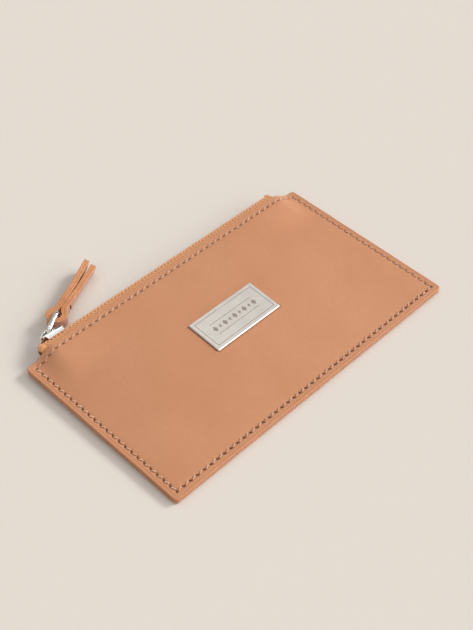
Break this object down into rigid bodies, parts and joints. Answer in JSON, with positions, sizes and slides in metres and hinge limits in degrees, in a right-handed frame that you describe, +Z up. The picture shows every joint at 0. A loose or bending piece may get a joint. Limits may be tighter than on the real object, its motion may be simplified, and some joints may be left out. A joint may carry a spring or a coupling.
{
  "type": "zippered pouch",
  "caption": "Slim flat leather pouch with a coil zip along one long edge, a chrome slider with a folded leather pull strap, and a small plain metal plate on the front.",
  "frame": {"origin": "under the middle of the leather, on the face of the back panel that the pouch rests on", "axes": "+X along the zip, away from the closed slider; +Y from the sewn long edge to the zip edge; +Z up, out of the front panel"},
  "size_m": [0.1414, 0.1054, 0.0078],
  "materials": {
    "leather": "smooth calf leather, semi-matte",
    "lining": "plain woven lining",
    "zip_tape": "herringbone woven tape",
    "zip_coil": "dyed nylon coil",
    "thread": "twisted polyester thread",
    "plate_metal": "satin nickel with a polished bevel",
    "slider_chrome": "polished nickel plating",
    "strap_leather": "leather with painted edges",
    "strap_thread": "waxed thread"
  },
  "bodies": {
    "pouch": {"front_panel": "leather", "back_panel": "leather", "front_lining": "lining", "back_lining": "lining", "front_zip_tape": "zip_tape", "back_zip_tape": "zip_tape", "front_zip_coil": "zip_coil", "back_zip_coil": "zip_coil", "zip_top_stops": "zip_coil", "zip_bottom_stop": "zip_coil", "seam_thread_front": "thread", "seam_thread_back": "thread", "name_plate": "plate_metal", "plate_backing": "plate_metal"},
    "slider": {"slider_body": "slider_chrome", "slider_bridge": "slider_chrome"},
    "link": {"pull_link": "slider_chrome"},
    "strap": {"strap_outer_ply": "strap_leather", "strap_inner_ply": "strap_leather", "strap_stitch": "strap_thread"}
  },
  "joints": [
    {"name": "zip_slide", "type": "slide", "parent": "pouch", "child": "slider", "axis": [1, 0, 0], "range_m": [0, 0.105]},
    {"name": "link_swing", "type": "hinge", "parent": "slider", "child": "link", "pos_m": [-0.0545, 0.04585, 0.0039], "axis": [0, 0, 1], "range_deg": [-10, 110]},
    {"name": "strap_swing", "type": "hinge", "parent": "link", "child": "strap", "pos_m": [-0.04627, 0.05099, 0.0039], "axis": [0, 0, 1], "range_deg": [-20, 50]}
  ]
}
